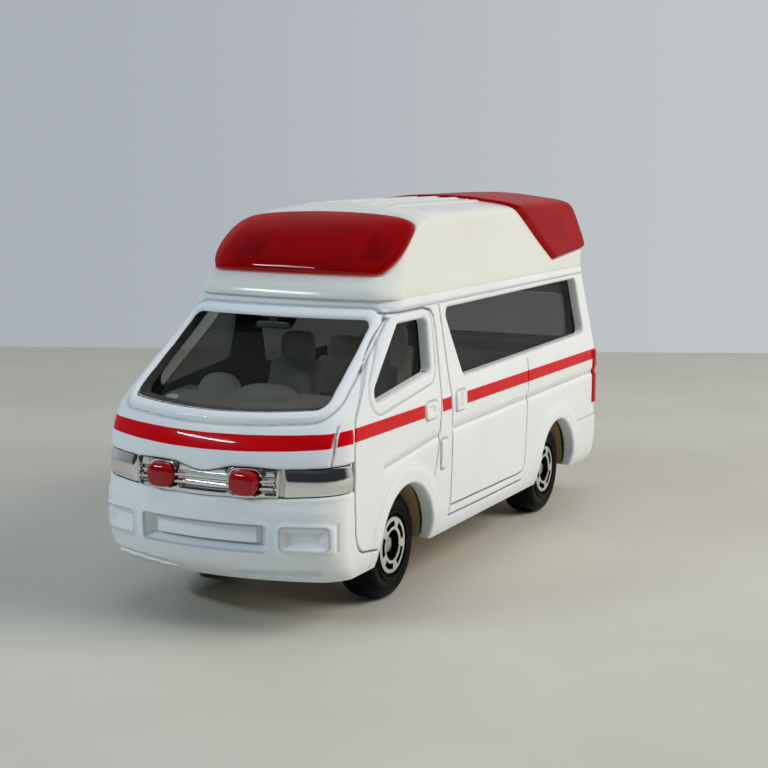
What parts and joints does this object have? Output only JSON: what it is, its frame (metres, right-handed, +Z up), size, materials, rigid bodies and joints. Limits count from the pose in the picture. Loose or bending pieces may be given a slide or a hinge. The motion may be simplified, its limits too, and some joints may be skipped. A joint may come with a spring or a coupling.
{
  "type": "toy ambulance",
  "caption": "Small die-cast style toy ambulance van with a high roof, clear red light bars, an opening rear hatch and sprung, free-rolling wheels.",
  "frame": {"origin": "on the ground under the middle of the body, between the tyres", "axes": "+Z up, -Y towards the front of the vehicle, +X towards its left side"},
  "size_m": [0.0254, 0.0761, 0.0379],
  "materials": {
    "body_paint": "gloss",
    "roof_plastic": "gloss",
    "lens_red": "clear gloss",
    "window_clear": "clear gloss",
    "chrome_insert": "mirror",
    "beacon_red": "gloss",
    "seat_plastic": "matte",
    "dark_plastic": "matte",
    "base_plastic": "matte",
    "spring_plastic": "matte",
    "axle_steel": "bright",
    "wheel_black": "satin",
    "rivet_steel": "satin"
  },
  "bodies": {
    "van": {"body_shell": "body_paint", "high_roof": "roof_plastic", "front_light_lens": "lens_red", "rear_light_lens": "lens_red", "glazing": "window_clear", "grille_insert": "chrome_insert", "grille_beacons": "beacon_red", "seat_moulding": "seat_plastic", "steering_wheel": "dark_plastic", "base_plate": "base_plastic", "front_leaf_spring": "spring_plastic", "rear_leaf_spring": "spring_plastic", "base_rivets": "rivet_steel"},
    "hatch": {"rear_hatch": "body_paint", "hatch_window": "window_clear"},
    "front_axle_unit": {"front_axle": "axle_steel"},
    "rear_axle_unit": {"rear_axle": "axle_steel"},
    "wheel_front_left": {"front_left_wheel": "wheel_black"},
    "wheel_front_right": {"front_right_wheel": "wheel_black"},
    "wheel_rear_left": {"rear_left_wheel": "wheel_black"},
    "wheel_rear_right": {"rear_right_wheel": "wheel_black"}
  },
  "joints": [
    {"name": "hatch_hinge", "type": "hinge", "parent": "van", "child": "hatch", "pos_m": [0, 0.0345, 0.02622], "axis": [1, 0, 0], "range_deg": [0, 78]},
    {"name": "front_axle_rise", "type": "slide", "parent": "van", "child": "front_axle_unit", "axis": [0, 0, 1], "range_m": [0, 0.0007], "stiffness_N_per_m": 300, "springref_m": -0.0015, "deforming": ["front_leaf_spring"]},
    {"name": "front_left_spin", "type": "hinge", "parent": "front_axle_unit", "child": "wheel_front_left", "pos_m": [0.009, -0.02046, 0.0052], "axis": [1, 0, 0], "continuous": true},
    {"name": "front_right_spin", "type": "hinge", "parent": "front_axle_unit", "child": "wheel_front_right", "pos_m": [-0.009, -0.02046, 0.0052], "axis": [1, 0, 0], "continuous": true},
    {"name": "rear_axle_rise", "type": "slide", "parent": "van", "child": "rear_axle_unit", "axis": [0, 0, 1], "range_m": [0, 0.0007], "stiffness_N_per_m": 300, "springref_m": -0.0015, "deforming": ["rear_leaf_spring"]},
    {"name": "rear_left_spin", "type": "hinge", "parent": "rear_axle_unit", "child": "wheel_rear_left", "pos_m": [0.009, 0.02214, 0.0052], "axis": [1, 0, 0], "continuous": true},
    {"name": "rear_right_spin", "type": "hinge", "parent": "rear_axle_unit", "child": "wheel_rear_right", "pos_m": [-0.009, 0.02214, 0.0052], "axis": [1, 0, 0], "continuous": true}
  ]
}
